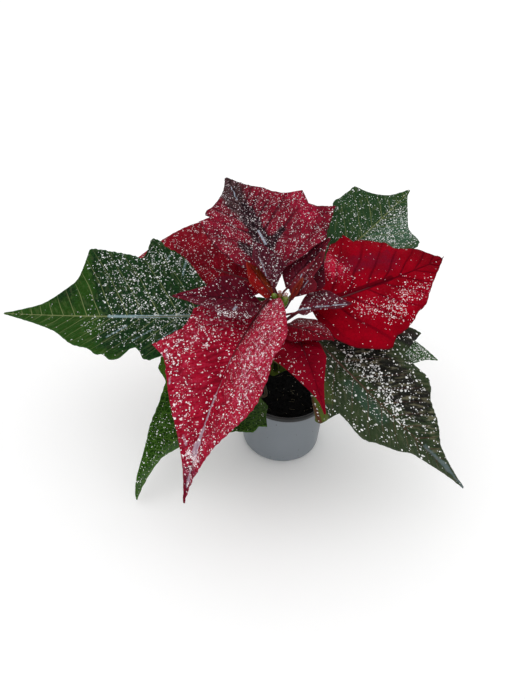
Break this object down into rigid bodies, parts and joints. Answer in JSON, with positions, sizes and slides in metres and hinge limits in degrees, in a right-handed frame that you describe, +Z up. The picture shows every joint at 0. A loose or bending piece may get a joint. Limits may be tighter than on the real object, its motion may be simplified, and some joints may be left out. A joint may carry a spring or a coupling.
{
  "type": "potted poinsettia",
  "caption": "Small potted poinsettia with lobed red bracts, dark green leaves and a green flower head, dusted with glitter, in a plain round plastic pot.",
  "frame": {"origin": "centre of the pot's flat base, which stands on the floor", "axes": "+Z up, -Y towards the viewer of the picture, +X to the viewer's right"},
  "size_m": [0.3221, 0.2313, 0.1817],
  "materials": {
    "pot_plastic": "satin",
    "peat": "matte",
    "stem": "matte",
    "flower": "satin",
    "bract_red": "satin",
    "bract_veined": "matte",
    "bract_purple": "matte",
    "bract_orange": "satin",
    "leaf_green": "satin",
    "leaf_bronze": "satin",
    "leaf_olive": "satin"
  },
  "bodies": {
    "root": {"pot": "pot_plastic", "potting_soil": "peat", "stem": "stem", "flower_head": "flower", "bract_front": "bract_red", "bract_front_right": "bract_red", "bract_right": "bract_red", "bract_back": "bract_veined", "bract_back_left": "bract_red", "inner_bract_left": "bract_purple", "inner_bract_back": "bract_purple", "inner_bract_back_left": "bract_purple", "inner_bract_back_right": "bract_purple", "inner_bract_right": "bract_purple", "inner_bract_front_right": "bract_purple", "small_bract_left": "bract_orange", "small_bract_right": "bract_orange", "leaf_left": "leaf_green", "leaf_back_right": "leaf_green", "leaf_front_right": "leaf_bronze", "leaf_front_left": "leaf_green", "leaf_right": "leaf_green", "leaf_young": "leaf_green", "leaf_low": "leaf_olive"}
  },
  "joints": []
}
